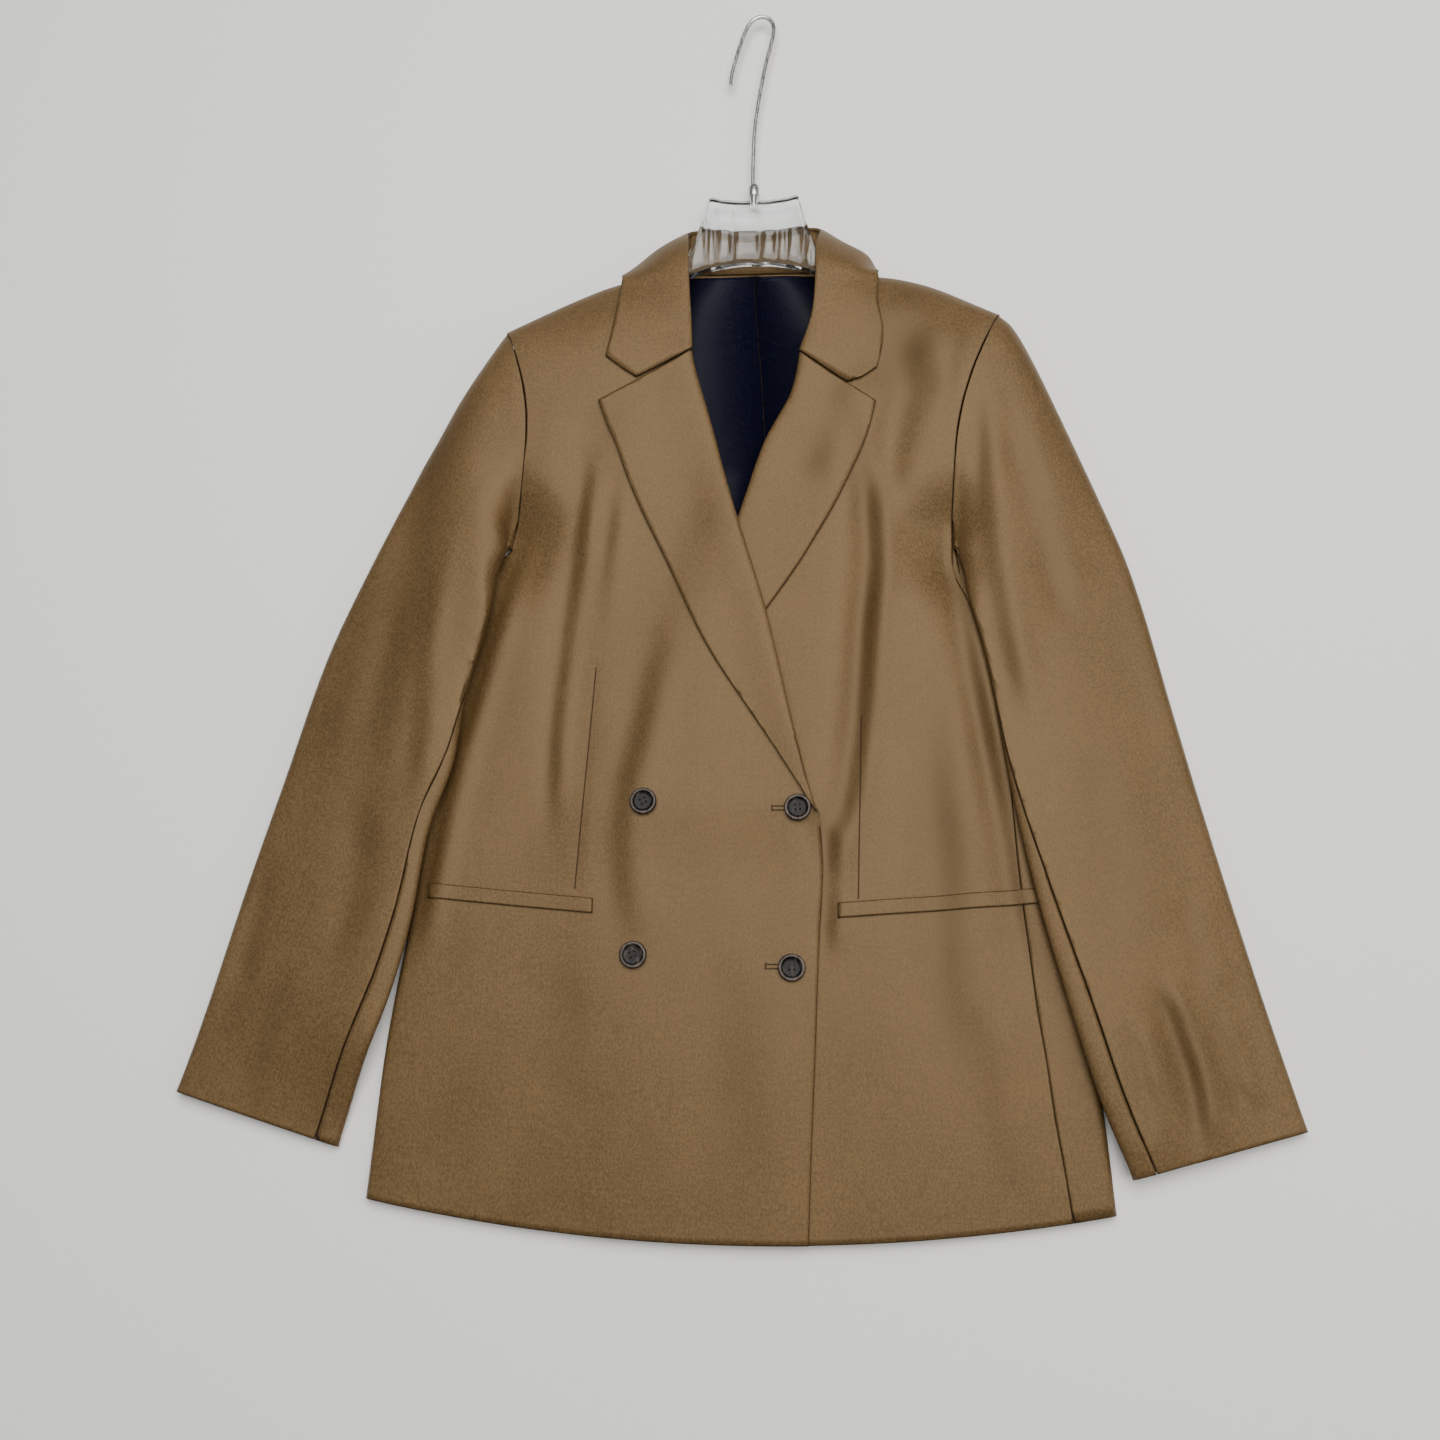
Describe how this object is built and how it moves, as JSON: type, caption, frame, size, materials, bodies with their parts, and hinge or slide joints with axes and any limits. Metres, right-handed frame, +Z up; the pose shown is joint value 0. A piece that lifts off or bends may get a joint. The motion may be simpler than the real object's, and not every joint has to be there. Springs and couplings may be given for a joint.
{
  "type": "double breasted blazer on a coat hanger",
  "caption": "Relaxed double breasted blazer with notched lapels, welt pockets and set-in sleeves, laid flat on its back with a clear coat hanger inside.",
  "frame": {"origin": "middle of the bounding box in X and Y, at the level of the surface that the blazer lies on", "axes": "+Y from the hem to the collar and the hanger's hook, +Z up from the surface through the front, wearer's right side at -X"},
  "size_m": [0.8046, 1.0004, 0.0435],
  "materials": {
    "wool": "fine twill wool, tobacco brown, soft sheen",
    "lining": "smooth navy lining, faint sheen",
    "horn": "polished dark brown and grey horn",
    "acrylic": "polished clear acrylic",
    "steel": "satin steel"
  },
  "bodies": {
    "root": {"back_left": "wool", "back_right": "wool", "side_panel_left": "wool", "side_panel_right": "wool", "front_left": "wool", "front_right": "wool", "lapel_left": "wool", "lapel_right": "wool", "collar": "wool", "top_sleeve_left": "wool", "top_sleeve_right": "wool", "under_sleeve_left": "wool", "under_sleeve_right": "wool", "pocket_welt_left": "wool", "pocket_welt_right": "wool", "collar_stand": "wool", "lining_left": "lining", "lining_right": "lining", "button_upper_right": "horn", "button_upper_left": "horn", "button_lower_right": "horn", "button_lower_left": "horn", "hanger_body": "acrylic", "hanger_ferrule": "steel", "hanger_hook": "steel"}
  },
  "joints": []
}
